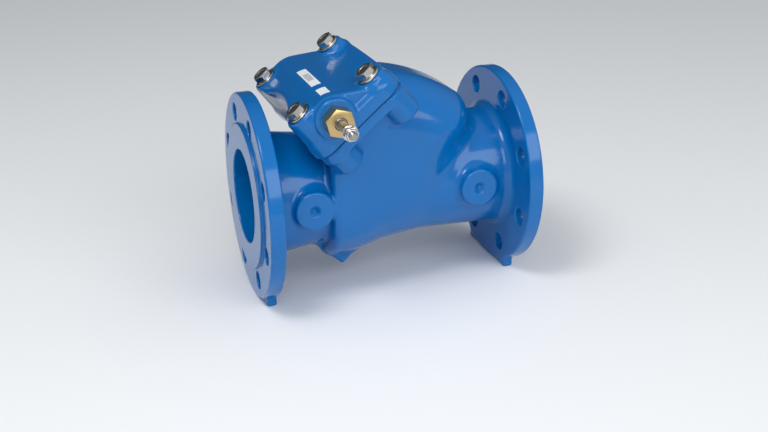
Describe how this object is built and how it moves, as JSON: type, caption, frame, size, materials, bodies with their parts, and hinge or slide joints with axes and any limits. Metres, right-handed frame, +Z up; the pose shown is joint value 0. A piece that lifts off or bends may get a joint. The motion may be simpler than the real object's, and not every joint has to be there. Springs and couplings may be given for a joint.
{
  "type": "flanged swing check valve",
  "caption": "Flanged swing check valve with tilted bolted bonnet, rubber-faced disc on a hinge arm and a shaft end outside a brass gland.",
  "frame": {"origin": "centre of the inlet flange's raised face, on the waterway's axis", "axes": "+X along the flow from inlet to outlet, +Z up towards the bonnet, -Y towards the shaft's free end"},
  "size_m": [0.3, 0.258, 0.2603],
  "materials": {
    "coated_iron": "glossy fusion-bonded blue epoxy on cast iron",
    "stainless_steel": "machined stainless steel",
    "brass": "machined brass, slightly dull",
    "rubber": "black EPDM rubber",
    "bare_iron": "grey ductile iron",
    "sleeve_plastic": "natural acetal",
    "sticker": "white film sticker"
  },
  "bodies": {
    "valve": {"body": "coated_iron", "bonnet": "coated_iron", "bonnet_gasket": "rubber", "long_bonnet_bolts": "stainless_steel", "short_bonnet_bolts": "stainless_steel", "bonnet_washers": "stainless_steel", "gland_nut": "brass", "gland_outer_seal": "rubber", "shaft_seals": "rubber", "wiper_ring": "rubber", "blind_bush": "brass", "large_label": "sticker", "small_label": "sticker"},
    "flap": {"shaft": "stainless_steel", "shaft_end_washer": "stainless_steel", "shaft_end_nut": "stainless_steel", "hinge_arm": "stainless_steel", "arm_key": "stainless_steel", "arm_set_screw": "stainless_steel", "spacer_sleeves": "sleeve_plastic"},
    "disc": {"disc_core": "bare_iron", "disc_rubber": "rubber", "disc_washer": "stainless_steel", "disc_nut": "stainless_steel", "disc_locking_pin": "stainless_steel"}
  },
  "joints": [
    {"name": "flap_swing", "type": "hinge", "parent": "valve", "child": "flap", "pos_m": [0.07882, 0, 0.10163], "axis": [0, -1, 0], "range_deg": [0, 65]},
    {"name": "disc_turn", "type": "hinge", "parent": "flap", "child": "disc", "pos_m": [0.1, 0, 0], "axis": [1, 0, 0], "continuous": true}
  ]
}
